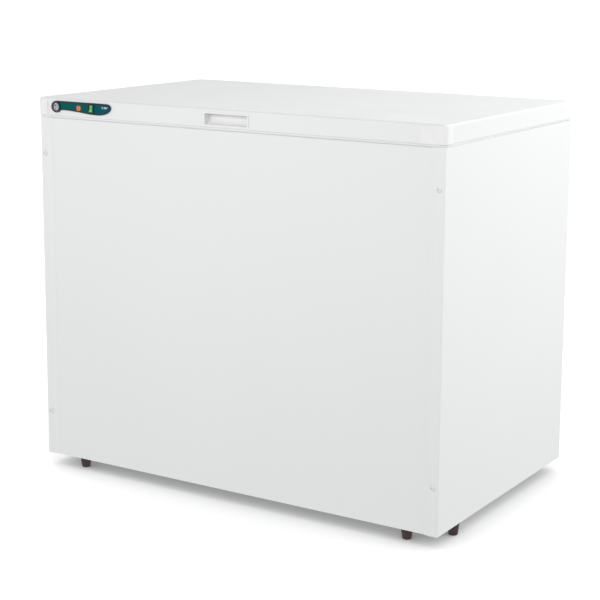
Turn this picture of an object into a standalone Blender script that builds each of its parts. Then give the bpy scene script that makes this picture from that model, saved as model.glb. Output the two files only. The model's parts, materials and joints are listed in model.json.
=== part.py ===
"""Chest freezer: a foam-filled cabinet on six feet, with a sprung lid that carries the controls.

Units are metres. X is the width, -Y the front, +Y the back and +Z up. Every part hangs from one
empty, placed so that the world's origin is at the bottom centre of the whole freezer's box.
"""

import math

import bmesh
import bpy
from mathutils import Matrix, Vector

# Driving dimensions of the cabinet and lid
TOTAL_H = 0.880
HALF_W = 0.522  # centre to the outside of a side panel
HALF_D = 0.317  # centre to the outside of the front flanges
FOOT_H = 0.030
LID_H = 0.040  # height of the lid's skirt
LID_SEAM = 0.0035  # open joint between the lid and the cabinet
WALL = 0.0635  # outside of the cabinet to the inside of the tank
SHEET = 0.0008  # painted steel and tank sheet
GAP = 0.0003  # between pieces that touch
RIM_Z = TOTAL_H - LID_H - LID_SEAM
PANEL_TOP = RIM_Z - 0.001
FLANGE = 0.030  # side panel wrapped on to the front
FLANGE_FLAT = 0.021  # the rest of it slopes back to the front panel
FLANGE_DROP = 0.0025
REAR_FLANGE = 0.020
BEND = 0.004  # outside radius of a folded corner
FRONT_FACE = -HALF_D + FLANGE_DROP + SHEET + GAP  # outside of the front panel
INNER_FRONT = FRONT_FACE + SHEET + GAP
INNER_BACK = HALF_D - 2 * SHEET - 2 * GAP

# Tank
TANK_X = HALF_W - WALL - 0.0015
TANK_Y = HALF_D - WALL
TANK_FLOOR = 0.090
STEP_X = 0.235  # where the floor steps up over the compressor
STEP_Z = 0.290
TANK_TOP = RIM_Z - 0.0143
TANK_CORNER = 0.022
TUBE_LAYER = 0.0095  # room for the evaporator between the tank and the foam
LEDGE = 0.012  # basket ledge in the rim
LEDGE_Z = RIM_Z - 0.009
DRAIN_AT = (-0.36, -0.17)

# Lid, which overhangs the cabinet a little
LID_X = 0.5237
LID_FRONT = -0.320
LID_BACK = 0.3135
SKIRT_Z = TOTAL_H - LID_H
HINGE_AT = (0.331, SKIRT_Z + 0.002)  # Y and Z of the hinge axis
HINGE_X = 0.360
COVER_BACK = 0.349
LID_CORNER = 0.012
CAP_REACH = {"left": 0.030, "right": 0.058}  # along the front; the fascia shortens the left one

# Controls in the lid's front, at their X and Z
DIAL_X = -0.4672
DIAL_Z = TOTAL_H - 0.0196
LAMP_X = -0.4000
ROCKER_X = -0.3655
CONTROL_Z = TOTAL_H - 0.0196
BEZEL_FRONT = LID_FRONT - 0.0042
DIAL_FRONT = LID_FRONT - 0.0065
ROCKER_TILT = math.radians(10)

# Handle pocket in the middle of the lid's front
HANDLE_W = 0.110
HANDLE_TOP = TOTAL_H - 0.0105
HANDLE_BOTTOM = TOTAL_H - 0.0345

# Compressor space, low at the right and open to the back
BAY_X = 0.262
BAY_Y = -0.180
BAY_Z = 0.232
COMPRESSOR_AT = (0.380, 0.090)
GRILLE_X = (0.277, 0.493)
GRILLE_Z = (0.042, 0.228)
SIDE_OF_GRILLE = 0.467  # column with the thermostat and the cable gland
THERMOSTAT_Z = 0.185
GLAND_Z = 0.075

# Basket, at rest over the compressor step
BASKET_X = (0.2455, 0.4435)
BASKET_Y = 0.2470
BASKET_Z = 0.600
BASKET_RIM_Z = LEDGE_Z + 0.0045
BASKET_WALL = 0.0010

SCREW_X = HALF_W - 0.0135
SCREW_Z = (0.135, TOTAL_H - 0.129)
FRONT_FOOT = (0.434, 0.034)  # X from the centre, and Y from the front
SIDE_FOOT = (0.505, 0.108)
REAR_FOOT = (0.434, 0.595)

Y_CENTRE = (COVER_BACK + DIAL_FRONT) / 2

COLOURS = {
    "white_steel": ((0.86, 0.87, 0.87), 0.35, 0.0),
    "white_plastic": ((0.84, 0.85, 0.85), 0.45, 0.0),
    "tank_sheet": ((0.80, 0.82, 0.83), 0.30, 0.4),
    "zinc_steel": ((0.62, 0.63, 0.64), 0.40, 1.0),
    "black_steel": ((0.03, 0.03, 0.03), 0.40, 0.0),
    "copper": ((0.72, 0.36, 0.22), 0.30, 1.0),
    "foam": ((0.85, 0.76, 0.50), 0.90, 0.0),
    "black_plastic": ((0.02, 0.02, 0.02), 0.40, 0.0),
    "teal_film": ((0.00, 0.14, 0.13), 0.35, 0.0),
    "dial_metal": ((0.62, 0.60, 0.68), 0.40, 0.0),
    "clear_lens": ((0.95, 0.97, 0.97), 0.05, 0.0),
    "orange_lens": ((0.85, 0.22, 0.05), 0.20, 0.0),
    "green_lens": ((0.05, 0.55, 0.10), 0.20, 0.0),
    "brown_rubber": ((0.06, 0.03, 0.03), 0.70, 0.0),
    "grey_seal": ((0.55, 0.56, 0.57), 0.60, 0.0),
}


# Scene set-up


def clear_scene():
    for obj in list(bpy.data.objects):
        bpy.data.objects.remove(obj, do_unlink=True)


def new_collection(name):
    collection = bpy.data.collections.new(name)
    bpy.context.scene.collection.children.link(collection)
    return collection


def new_empty(name, at, parent=None):
    """An empty at a place in the freezer's frame. It remembers the place for what hangs from it."""
    empty = bpy.data.objects.new(name, None)
    PARTS.objects.link(empty)
    base = Vector(parent["at"]) if parent else Vector((0, Y_CENTRE, 0))
    empty.location = Vector(at) - base
    empty.parent = parent
    empty["at"] = list(at)
    empty.empty_display_size = 0.05
    return empty


def new_material(name):
    colour, roughness, metallic = COLOURS[name]
    material = bpy.data.materials.new(name)
    material.use_nodes = True
    shader = material.node_tree.nodes["Principled BSDF"]
    shader.inputs["Base Color"].default_value = (*colour, 1)
    shader.inputs["Roughness"].default_value = roughness
    shader.inputs["Metallic"].default_value = metallic
    material.diffuse_color = (*colour, 1)
    return material


def place(obj, material, parent):
    """Links a part and hangs it from its empty, or files a cutter away when there is no material."""
    parent = parent or ORIGIN
    obj.parent = parent
    obj.location = Vector(obj.location) - Vector(parent["at"])
    if material:
        PARTS.objects.link(obj)
        obj.data.materials.append(MATERIALS[material])
    else:
        CUTTERS.objects.link(obj)
        obj.hide_render = True
        obj.display_type = "WIRE"
    return obj


def from_bmesh(name, mesh_data, material, parent, smooth=False):
    bmesh.ops.recalc_face_normals(mesh_data, faces=mesh_data.faces)
    mesh = bpy.data.meshes.new(name)
    mesh_data.to_mesh(mesh)
    mesh_data.free()
    if smooth:
        mesh.shade_smooth()
        mesh.set_sharp_from_angle(angle=math.radians(35))
    return place(bpy.data.objects.new(name, mesh), material, parent)


# Shapes


def edges_along(shape, axis):
    """The edges that run along one axis."""
    return [
        edge
        for edge in shape.edges
        if abs((edge.verts[1].co - edge.verts[0].co).normalized()[axis]) > 0.999
    ]


def edges_on(shape, axis, value):
    """The edges that lie in the plane where one coordinate has this value."""
    return [
        edge
        for edge in shape.edges
        if all(abs(vert.co[axis] - value) < 1e-6 for vert in edge.verts)
    ]


def round_off(shape, edges, radius, steps=3):
    bmesh.ops.bevel(shape, geom=edges, offset=radius, segments=steps, profile=0.5, affect="EDGES")


def box_shape(low, high):
    shape = bmesh.new()
    low, high = Vector(low), Vector(high)
    size = Matrix.Diagonal((*(high - low), 1))
    bmesh.ops.create_cube(shape, size=1, matrix=Matrix.Translation((low + high) / 2) @ size)
    return shape


def block(name, low, high, material=None, parent=None, upright=0.0, edge=0.0):
    """A box, with its four upright edges rounded by one radius or all its edges by another."""
    shape = box_shape(low, high)
    if upright:
        round_off(shape, edges_along(shape, 2), upright)
    if edge:
        round_off(shape, list(shape.edges), edge, 2)
    return from_bmesh(name, shape, material, parent, smooth=bool(upright or edge))


def prism_shape(outline, axis, low, high):
    """A closed outline in the plane across an axis, drawn out along that axis."""
    others = [i for i in range(3) if i != axis]
    shape = bmesh.new()
    verts = []
    for point in outline:
        spot = [0.0, 0.0, 0.0]
        spot[axis] = low
        spot[others[0]] = point[0]
        spot[others[1]] = point[1]
        verts.append(shape.verts.new(spot))
    face = shape.faces.new(verts)
    drawn = bmesh.ops.extrude_face_region(shape, geom=[face])["geom"]
    step = Vector((0, 0, 0))
    step[axis] = high - low
    moved = [item for item in drawn if isinstance(item, bmesh.types.BMVert)]
    bmesh.ops.translate(shape, verts=moved, vec=step)
    bmesh.ops.recalc_face_normals(shape, faces=shape.faces)
    return shape


def prism(name, outline, axis, low, high, material=None, parent=None, smooth=False):
    return from_bmesh(name, prism_shape(outline, axis, low, high), material, parent, smooth)


def drop_faces(shape, axis, value):
    """Opens a closed shape at the plane where one coordinate has this value."""
    faces = [
        face
        for face in shape.faces
        if all(abs(vert.co[axis] - value) < 1e-6 for vert in face.verts)
    ]
    bmesh.ops.delete(shape, geom=faces, context="FACES")


def thicken(obj, thickness):
    """Makes a solid of an open surface, inwards from its outer side."""
    wall = obj.modifiers.new("wall", "SOLIDIFY")
    wall.thickness = thickness
    wall.offset = -1
    wall.use_even_offset = True
    return obj


def open_shell(name, shape, thickness, material, parent=None):
    mesh = bpy.data.meshes.new(name)
    shape.to_mesh(mesh)
    shape.free()
    mesh.shade_smooth()
    mesh.set_sharp_from_angle(angle=math.radians(35))
    return thicken(place(bpy.data.objects.new(name, mesh), material, parent), thickness)


def rounded_path(path, radius, steps=4):
    """An open path of 2-D or 3-D points with an arc in place of each inner corner."""
    points = [Vector(path[0])]
    for before, corner, after in zip(path, path[1:], path[2:]):
        corner = Vector(corner)
        back = (Vector(before) - corner).normalized()
        onward = (Vector(after) - corner).normalized()
        half = back.angle(onward) / 2
        middle = (back + onward).normalized()
        centre = corner + middle * (radius / math.sin(half))
        start = (corner + back * (radius / math.tan(half)) - centre).normalized()
        end = (corner + onward * (radius / math.tan(half)) - centre).normalized()
        points += [centre + start.slerp(end, i / steps) * radius for i in range(steps + 1)]
    points.append(Vector(path[-1]))
    return points


def folded_sheet(name, path, low, high, material, parent=None, thickness=SHEET):
    """A sheet bent along an XY path that runs clockwise from above, upright between two heights."""
    shape = bmesh.new()
    rows = [[shape.verts.new((*point, z)) for point in path] for z in (low, high)]
    for i in range(len(path) - 1):
        shape.faces.new((rows[1][i], rows[1][i + 1], rows[0][i + 1], rows[0][i]))
    return open_shell(name, shape, thickness, material, parent)


def rod(name, start, end, radius, material=None, parent=None, sides=16, end_radius=None):
    """A cylinder or a cone between two points."""
    start, end = Vector(start), Vector(end)
    shape = bmesh.new()
    turn = (end - start).to_track_quat("Z", "Y").to_matrix().to_4x4()
    bmesh.ops.create_cone(
        shape,
        cap_ends=True,
        segments=sides,
        radius1=radius,
        radius2=radius if end_radius is None else end_radius,
        depth=(end - start).length,
        matrix=Matrix.Translation((start + end) / 2) @ turn,
    )
    return from_bmesh(name, shape, material, parent, smooth=True)


def turned(name, profile, at, facing, material, parent=None, steps=24, loop=False):
    """A profile of (radius, height) points, outer side from top to bottom, turned about a line.

    The line passes through at, and heights run towards facing.
    """
    mesh = bpy.data.meshes.new(name)
    edges = [(i, i + 1) for i in range(len(profile) - 1)]
    if loop:
        edges.append((len(profile) - 1, 0))
    mesh.from_pydata([(radius, 0, height) for radius, height in profile], edges, [])
    obj = bpy.data.objects.new(name, mesh)
    obj.location = at
    obj.rotation_euler = Vector(facing).to_track_quat("Z", "Y").to_euler()
    screw = obj.modifiers.new("turn", "SCREW")
    screw.steps = steps
    screw.render_steps = steps
    screw.use_merge_vertices = True
    screw.merge_threshold = 0.00005
    screw.use_smooth_shade = True
    return place(obj, material, parent)


def tube(name, points, radius, material, parent=None, sides_level=1):
    """A wire or pipe along a list of points."""
    curve = bpy.data.curves.new(name, "CURVE")
    curve.dimensions = "3D"
    curve.bevel_depth = radius
    curve.bevel_resolution = sides_level
    curve.use_fill_caps = True
    spline = curve.splines.new("POLY")
    spline.points.add(len(points) - 1)
    for spot, point in zip(spline.points, points):
        spot.co = (*point, 1)
    return place(bpy.data.objects.new(name, curve), material, parent)


def arc(centre, radius, start, end, steps):
    """Points on a circle from one angle to another, in degrees."""
    angles = [math.radians(start + (end - start) * i / steps) for i in range(steps + 1)]
    return [(centre[0] + radius * math.cos(a), centre[1] + radius * math.sin(a)) for a in angles]


def combine(target, operation, others):
    for other in others:
        modifier = target.modifiers.new(other.name, "BOOLEAN")
        modifier.operation = operation
        modifier.object = other
        modifier.solver = "EXACT"
    return target


def cut(target, *cutters):
    return combine(target, "DIFFERENCE", cutters)


def join(target, *others):
    return combine(target, "UNION", others)


# Cabinet


def tank_outline(grow, top):
    """The tank's outline from the front, grown on every side but the open top."""
    return [
        (-TANK_X - SHEET - grow, TANK_FLOOR - SHEET - grow),
        (STEP_X + SHEET + grow, TANK_FLOOR - SHEET - grow),
        (STEP_X + SHEET + grow, STEP_Z - SHEET - grow),
        (TANK_X + SHEET + grow, STEP_Z - SHEET - grow),
        (TANK_X + SHEET + grow, top),
        (-TANK_X - SHEET - grow, top),
    ]


def tank_shape(grow, top):
    half_y = TANK_Y + SHEET + grow
    shape = prism_shape(tank_outline(grow, top), 1, -half_y, half_y)
    rims = set(edges_on(shape, 2, top))
    round_off(shape, [edge for edge in shape.edges if edge not in rims], TANK_CORNER)
    return shape


def screw_holes():
    holes = []
    for side in (-1, 1):
        for z in SCREW_Z:
            start = (side * SCREW_X, -HALF_D - 0.01, z)
            end = (side * SCREW_X, -HALF_D + 0.01, z)
            holes.append(rod("screw_hole", start, end, 0.0024, sides=12))
    return holes


def side_panel(name, side, holes):
    corners = [
        (HALF_W - REAR_FLANGE, HALF_D),
        (HALF_W, HALF_D),
        (HALF_W, -HALF_D),
        (HALF_W - FLANGE_FLAT, -HALF_D),
    ]
    path = rounded_path(corners, BEND) + [Vector((HALF_W - FLANGE, -HALF_D + FLANGE_DROP))]
    path = [Vector((side * x, y)) for x, y in path]
    if side < 0:
        path.reverse()
    panel = folded_sheet(name, path, FOOT_H, PANEL_TOP, "white_steel")
    return cut(panel, *holes)


def front_panel(holes):
    low = (-HALF_W + 0.0085, FRONT_FACE, FOOT_H)
    high = (HALF_W - 0.0085, FRONT_FACE + SHEET, PANEL_TOP)
    return cut(block("front_panel", low, high, "white_steel"), *holes)


def rear_panel():
    inside = HALF_D - 2 * SHEET - GAP
    low = (-HALF_W + 0.0085, inside, FOOT_H)
    high = (HALF_W - 0.0085, inside + SHEET, PANEL_TOP)
    panel = block("rear_panel", low, high, "white_steel")
    window = block(
        "rear_window",
        (GRILLE_X[0] + 0.008, inside - 0.01, GRILLE_Z[0] + 0.008),
        (GRILLE_X[1] - 0.004, inside + 0.01, GRILLE_Z[1] - 0.008),
    )
    return cut(panel, window)


def base_pan(drain_hole):
    half_x = HALF_W - SHEET - GAP
    top = FOOT_H + 0.015
    shape = box_shape((-half_x, INNER_FRONT, FOOT_H), (half_x, INNER_BACK, top))
    round_off(shape, edges_along(shape, 2), BEND)
    drop_faces(shape, 2, top)
    return cut(open_shell("base_pan", shape, SHEET, "zinc_steel"), drain_hole)


def top_frame():
    half_x = HALF_W - SHEET - GAP
    bottom = TANK_TOP + GAP
    low, high = (-half_x, INNER_FRONT, bottom), (half_x, INNER_BACK, RIM_Z)
    frame = block("top_frame", low, high, "white_plastic", upright=BEND)
    low, high = (-TANK_X, -TANK_Y, bottom - 0.01), (TANK_X, TANK_Y, RIM_Z + 0.01)
    mouth = block("mouth", low, high, upright=TANK_CORNER)
    rebate = block(
        "rebate",
        (-TANK_X - LEDGE, -TANK_Y - LEDGE, LEDGE_Z),
        (TANK_X + LEDGE, TANK_Y + LEDGE, RIM_Z + 0.01),
        upright=TANK_CORNER + LEDGE,
    )
    return cut(frame, mouth, rebate)


def inner_tank():
    shape = tank_shape(0, TANK_TOP)
    drop_faces(shape, 2, TANK_TOP)
    tank = open_shell("inner_tank", shape, SHEET, "tank_sheet")
    x, y = DRAIN_AT
    hole = rod("tank_drain_hole", (x, y, TANK_FLOOR - 0.02), (x, y, TANK_FLOOR + 0.02), 0.0088, sides=20)
    return cut(tank, hole)


def cabinet_foam(drain_hole):
    half_x = HALF_W - 0.0025
    low = (-half_x, INNER_FRONT + SHEET + GAP, FOOT_H + SHEET + GAP)
    high = (half_x, HALF_D - 0.0087, TANK_TOP)
    foam = block("cabinet_foam", low, high, "foam", upright=0.006)
    cavity = from_bmesh("tank_cavity", tank_shape(TUBE_LAYER, TANK_TOP + 0.02), None, None)
    bay = block("compressor_bay", (BAY_X, BAY_Y, 0.01), (HALF_W + 0.01, HALF_D + 0.01, BAY_Z))
    tunnel = rod("line_tunnel", (0.40, 0.03, BAY_Z - 0.01), (0.40, 0.03, STEP_Z), 0.008, sides=12)
    return cut(foam, cavity, bay, tunnel, drain_hole)


def feet():
    profile = [(0, 0.0297), (0.0122, 0.0297), (0.0122, 0.0275), (0.0098, 0.0018), (0.0084, 0), (0, 0)]
    spots = {"front": FRONT_FOOT, "side": SIDE_FOOT, "rear": REAR_FOOT}
    for row, (x, from_front) in spots.items():
        for side, word in ((-1, "left"), (1, "right")):
            at = (side * x, -HALF_D + from_front, 0)
            turned(f"foot_{row}_{word}", profile, at, (0, 0, 1), "brown_rubber", steps=20)


def front_screws():
    """Pan-head screws that hold the side panels to the front panel."""
    head = [(0, 0.0027), (0.0022, 0.0025), (0.0038, 0.0017), (0.0045, GAP), (0.0021, GAP)]
    profile = head + [(0.0021, -0.0046), (0, -0.0050)]
    for side, word in ((-1, "left"), (1, "right")):
        for z, level in zip(SCREW_Z, ("lower", "upper")):
            at = (side * SCREW_X, -HALF_D, z)
            turned(f"screw_{level}_{word}", profile, at, (0, -1, 0), "white_steel", steps=12)


# Refrigeration


def evaporator_tube():
    """Seven turns round the tank above the step, between the tank and the foam. Returns their end."""
    half_x = TANK_X + SHEET + TUBE_LAYER / 2
    half_y = TANK_Y + SHEET + TUBE_LAYER / 2
    turns, top, bottom = 7, TANK_TOP - 0.03, STEP_Z + 0.06
    loop = []
    for x, y, start in (
        (half_x, half_y, 0),
        (-half_x, half_y, 90),
        (-half_x, -half_y, 180),
        (half_x, -half_y, 270),
    ):
        bend = 0.027
        centre = (x - math.copysign(bend, x), y - math.copysign(bend, y))
        loop += arc(centre, bend, start, start + 90, 3)
    route = []
    for i in range(turns * len(loop)):
        x, y = loop[i % len(loop)]
        route.append((x, y, top + (bottom - top) * i / (turns * len(loop) - 1)))
    tube("evaporator_tube", route, 0.004, "copper")
    return Vector(route[-1])


def condenser_tube():
    """A serpentine on the inside of the rear panel, ending over the compressor."""
    y = INNER_BACK - 0.0030
    left, right, top, step = -0.44, 0.44, 0.76, 0.062
    corners = []
    for i in range(9):
        z = top - i * step
        ends = (left, right) if i % 2 == 0 else (right, left)
        corners += [(ends[0], y, z), (ends[1], y, z)]
    corners.append((right, y, BAY_Z + 0.004))
    route = rounded_path(corners, 0.024, 3)
    tube("condenser_tube", route, 0.0026, "black_steel")


def compressor():
    x, y = COMPRESSOR_AT
    floor = FOOT_H + SHEET
    shell = [
        (0, 0.150),
        (0.030, 0.147),
        (0.055, 0.134),
        (0.068, 0.112),
        (0.070, 0.082),
        (0.073, 0.080),
        (0.073, 0.074),
        (0.070, 0.072),
        (0.067, 0.030),
        (0.052, 0.008),
        (0.030, 0),
        (0, 0),
    ]
    turned("compressor", shell, (x, y, floor + 0.0223), (0, 0, 1), "black_steel", steps=24)
    plate = block(
        "compressor_base",
        (x - 0.090, y - 0.055, floor + 0.0190),
        (x + 0.090, y + 0.055, floor + 0.0220),
        "black_steel",
        upright=0.012,
    )
    legs = [
        rod("leg", (x + dx, y + dy, floor + GAP), (x + dx, y + dy, floor + 0.0205), 0.010, sides=12)
        for dx in (-0.074, 0.074)
        for dy in (-0.040, 0.040)
    ]
    join(plate, *legs)
    block(
        "relay_cover",
        (x - 0.028, y - 0.100, floor + 0.062),
        (x + 0.028, y - 0.0733, floor + 0.118),
        "black_plastic",
        edge=0.003,
    )


def refrigerant_lines(start):
    """The suction line from the evaporator's end to the bay, and the discharge line with its drier."""
    x, y = COMPRESSOR_AT
    floor = FOOT_H + SHEET
    layer_z = STEP_Z - SHEET - TUBE_LAYER / 2
    layer_x = TANK_X + SHEET + TUBE_LAYER / 2
    bend = TANK_CORNER + TUBE_LAYER / 2
    corners = [
        (layer_x, start.y + 0.002, start.z),
        (layer_x, 0.03, start.z),
        (layer_x, 0.03, layer_z),
        (0.42, 0.03, layer_z),
    ]
    into_bay = [(0.42, 0.03, layer_z), (0.40, 0.03, layer_z), (0.40, 0.03, 0.1800)]
    route = rounded_path(corners, bend, 4)[:-1] + rounded_path(into_bay, 0.005, 3)[1:]
    tube("suction_line", route, 0.0032, "copper")
    low = floor + 0.096
    corners = [
        (x - 0.0765, y, low),
        (x - 0.0950, y, low),
        (x - 0.0950, 0.220, low),
    ]
    tube("discharge_line", rounded_path(corners, 0.010, 3), 0.0026, "copper")
    drier = [(0, 0.086), (0.003, 0.086), (0.003, 0.076), (0.0095, 0.066), (0.0095, 0.020), (0.003, 0.010)]
    drier += [(0.003, 0), (0, 0)]
    turned("filter_drier", drier, (x - 0.0950, 0.2203, low), (0, 1, 0), "copper", steps=12)


def drain():
    x, y = DRAIN_AT
    top = TANK_FLOOR - SHEET - GAP
    wall = [(0.0110, top), (0.0110, 0.024), (0.0084, 0.024), (0.0084, top)]
    turned("drain_tube", wall, (x, y, 0), (0, 0, 1), "white_plastic", steps=20, loop=True)
    plug = [
        (0, 0.0085),
        (0.0040, 0.0085),
        (0.0050, 0.0055),
        (0.0125, 0.0040),
        (0.0135, GAP),
        (0.0078, GAP),
        (0.0070, -0.0160),
        (0, -0.0160),
    ]
    turned("drain_plug", plug, (x, y, TANK_FLOOR), (0, 0, 1), "grey_seal", PLUG_AXIS, steps=20)


def grille():
    face = HALF_D - SHEET + 0.0002
    low = (GRILLE_X[0], face - GAP, GRILLE_Z[0])
    high = (GRILLE_X[1], face + 0.0020, GRILLE_Z[1])
    plate = block("compressor_grille", low, high, "white_steel")
    slots = []
    for i in range(9):
        z = GRILLE_Z[0] + 0.016 + i * 0.018
        low = (GRILLE_X[0] + 0.012, face - 0.01, z)
        high = (SIDE_OF_GRILLE - 0.028, face + 0.01, z + 0.007)
        slots.append(block("slot", low, high))
    holes = []
    for z, radius in ((THERMOSTAT_Z, 0.0045), (GLAND_Z, 0.0083)):
        start = (SIDE_OF_GRILLE, face - 0.01, z)
        end = (SIDE_OF_GRILLE, face + 0.01, z)
        holes.append(rod("grille_hole", start, end, radius, sides=20))
    return cut(plate, *holes, *slots)


def thermostat():
    face = HALF_D - SHEET + 0.0022
    x, z = SIDE_OF_GRILLE, THERMOSTAT_Z
    body = block(
        "thermostat_body", (x - 0.020, 0.280, z - 0.018), (x + 0.020, 0.3145, z + 0.018), "zinc_steel"
    )
    spindle = rod("spindle", (x, 0.300, z), (x, face + 0.0085, z), 0.0030, sides=16)
    join(body, spindle)
    profile = [
        (0, 0.0150),
        (0.0110, 0.0150),
        (0.0122, 0.0138),
        (0.0140, 0.0006),
        (0.0036, 0.0006),
        (0.0036, 0.0095),
        (0, 0.0095),
    ]
    knob = turned("thermostat_knob", profile, (x, face, z), (0, 1, 0), "black_plastic", KNOB_AXIS)
    low = (x - 0.0013, face + 0.0120, z - 0.0105)
    pointer = block("knob_pointer", low, (x + 0.0013, face + 0.0170, z + 0.0105))
    join(knob, pointer)


def cable_gland():
    face = HALF_D - SHEET + 0.0022
    ring = [
        (0.0080, 0.0105),
        (0.0092, 0.0090),
        (0.0105, 0.0045),
        (0.0105, GAP),
        (0.0079, GAP),
        (0.0079, -0.0060),
        (0.0042, -0.0060),
        (0.0042, 0.0105),
    ]
    at = (SIDE_OF_GRILLE, face, GLAND_Z)
    turned("cable_gland", ring, at, (0, 1, 0), "black_plastic", steps=20, loop=True)


# Lid


def handle_outline(grow):
    """The pocket's section from the side: a level ceiling and a scooped floor behind a low lip."""
    floor = arc((LID_FRONT - 0.001, HANDLE_TOP - 0.004), 0.020 + grow, -78, 0, 6)
    return (
        [(LID_FRONT - 0.0025, HANDLE_BOTTOM - grow), (LID_FRONT, HANDLE_BOTTOM - grow)]
        + floor[1:]
        + [(LID_FRONT + 0.0185 + grow, HANDLE_TOP + grow), (LID_FRONT - 0.0025, HANDLE_TOP + grow)]
    )


def handle_cup():
    half = HANDLE_W / 2
    wall = 0.0012
    cup = prism(
        "handle_cup", handle_outline(wall), 0, -half - wall, half + wall, "white_plastic", LID_AXIS
    )
    trim = block(
        "handle_front_trim",
        (-half - 0.02, LID_FRONT - 0.01, HANDLE_BOTTOM - 0.02),
        (half + 0.02, LID_FRONT - 0.0006, HANDLE_TOP + 0.02),
        parent=LID_AXIS,
    )
    frame = block(
        "handle_frame",
        (-half - 0.0035, LID_FRONT - 0.0012, HANDLE_BOTTOM - 0.0030),
        (half + 0.0035, LID_FRONT - GAP, HANDLE_TOP + 0.0030),
        parent=LID_AXIS,
    )
    pocket = prism("handle_pocket", handle_outline(0), 0, -half, half, parent=LID_AXIS)
    cut(cup, trim)
    join(cup, frame)
    return cut(cup, pocket)


def control_holes():
    """Openings in the skirt behind the control fascia."""
    y = (LID_FRONT - 0.008, LID_FRONT + 0.004)
    start, end = (DIAL_X, y[0], DIAL_Z), (DIAL_X, y[1], DIAL_Z)
    dial = rod("dial_hole", start, end, 0.0118, parent=LID_AXIS, sides=24)
    lamp = block(
        "lamp_hole",
        (LAMP_X - 0.0050, y[0], CONTROL_Z - 0.0050),
        (LAMP_X + 0.0050, y[1], CONTROL_Z + 0.0050),
        parent=LID_AXIS,
    )
    rocker = block(
        "rocker_hole",
        (ROCKER_X - 0.0068, y[0], CONTROL_Z - 0.0098),
        (ROCKER_X + 0.0068, y[1], CONTROL_Z + 0.0098),
        parent=LID_AXIS,
    )
    return dial, lamp, rocker


def lid_shell(holes):
    shape = box_shape((-LID_X, LID_FRONT, SKIRT_Z), (LID_X, LID_BACK, TOTAL_H))
    round_off(shape, edges_along(shape, 2), LID_CORNER, 4)
    round_off(shape, edges_on(shape, 2, TOTAL_H), 0.0045, 4)
    drop_faces(shape, 2, SKIRT_Z)
    shell = open_shell("lid_shell", shape, SHEET, "white_steel", LID_AXIS)
    half = HANDLE_W / 2 + 0.0017
    window = block(
        "handle_window",
        (-half, LID_FRONT - 0.01, HANDLE_BOTTOM - 0.0015),
        (half, LID_FRONT + 0.01, HANDLE_TOP + 0.0015),
        parent=LID_AXIS,
    )
    return cut(shell, window, *holes)


def lid_foam():
    inset = SHEET + 0.0004
    low = (-LID_X + inset, LID_FRONT + inset, SKIRT_Z + 0.0042)
    high = (LID_X - inset, LID_BACK - inset, TOTAL_H - inset)
    shape = box_shape(low, high)
    round_off(shape, edges_along(shape, 2), LID_CORNER)
    round_off(shape, edges_on(shape, 2, high[2]), 0.0045, 2)
    foam = from_bmesh("lid_foam", shape, "foam", LID_AXIS)
    half = HANDLE_W / 2 + 0.0018
    back = LID_FRONT + 0.0205
    low, high = (-half, LID_FRONT - 0.01, SKIRT_Z), (half, back, HANDLE_TOP + 0.0018)
    handle = block("handle_space", low, high, parent=LID_AXIS)
    controls = block(
        "control_space",
        (DIAL_X - 0.0135, LID_FRONT - 0.01, SKIRT_Z + 0.0078),
        (ROCKER_X + 0.009, LID_FRONT + 0.024, TOTAL_H - 0.0055),
        parent=LID_AXIS,
    )
    return cut(foam, handle, controls)


def lid_liner():
    """The lid's inner panel: a flat border that takes the seal, and a shallow raised middle."""
    inset = SHEET + 0.0004
    low = (-LID_X + inset, LID_FRONT + inset, SKIRT_Z + 0.0024)
    high = (LID_X - inset, LID_BACK - inset, SKIRT_Z + 0.0039)
    liner = block("lid_liner", low, high, "white_plastic", LID_AXIS, upright=LID_CORNER)
    low = (-TANK_X + 0.010, -TANK_Y + 0.012, RIM_Z - 0.0005)
    high = (TANK_X - 0.010, TANK_Y - 0.012, SKIRT_Z + 0.0030)
    shape = box_shape(low, high)
    round_off(shape, edges_along(shape, 2), 0.030)
    round_off(shape, edges_on(shape, 2, RIM_Z - 0.0005), 0.003, 2)
    middle = from_bmesh("liner_middle", shape, None, LID_AXIS)
    return join(liner, middle)


def lid_gasket():
    low = (-0.5080, -0.3000, RIM_Z + GAP)
    high = (0.5080, 0.3000, SKIRT_Z + 0.0024 - GAP)
    ring = block("lid_gasket", low, high, "grey_seal", LID_AXIS, upright=0.020)
    inside = block(
        "gasket_inside", (-0.4940, -0.2860, low[2] - 0.01), (0.4940, 0.2860, high[2] + 0.01),
        parent=LID_AXIS, upright=0.008,
    )
    return cut(ring, inside)


def corner_caps():
    """Plastic caps clipped round the lid's two front corners."""
    off = 0.0013
    for side, word in ((-1, "left"), (1, "right")):
        reach = CAP_REACH[word]
        corners = [
            (LID_X + off, LID_FRONT + CAP_REACH["left"]),
            (LID_X + off, LID_FRONT - off),
            (LID_X + off - reach, LID_FRONT - off),
        ]
        path = [Vector((side * x, y)) for x, y in rounded_path(corners, LID_CORNER + 0.0010, 5)]
        if side < 0:
            path.reverse()
        name = f"lid_corner_cap_{word}"
        folded_sheet(name, path, SKIRT_Z, TOTAL_H - 0.0048, "white_plastic", LID_AXIS, 0.0010)


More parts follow.
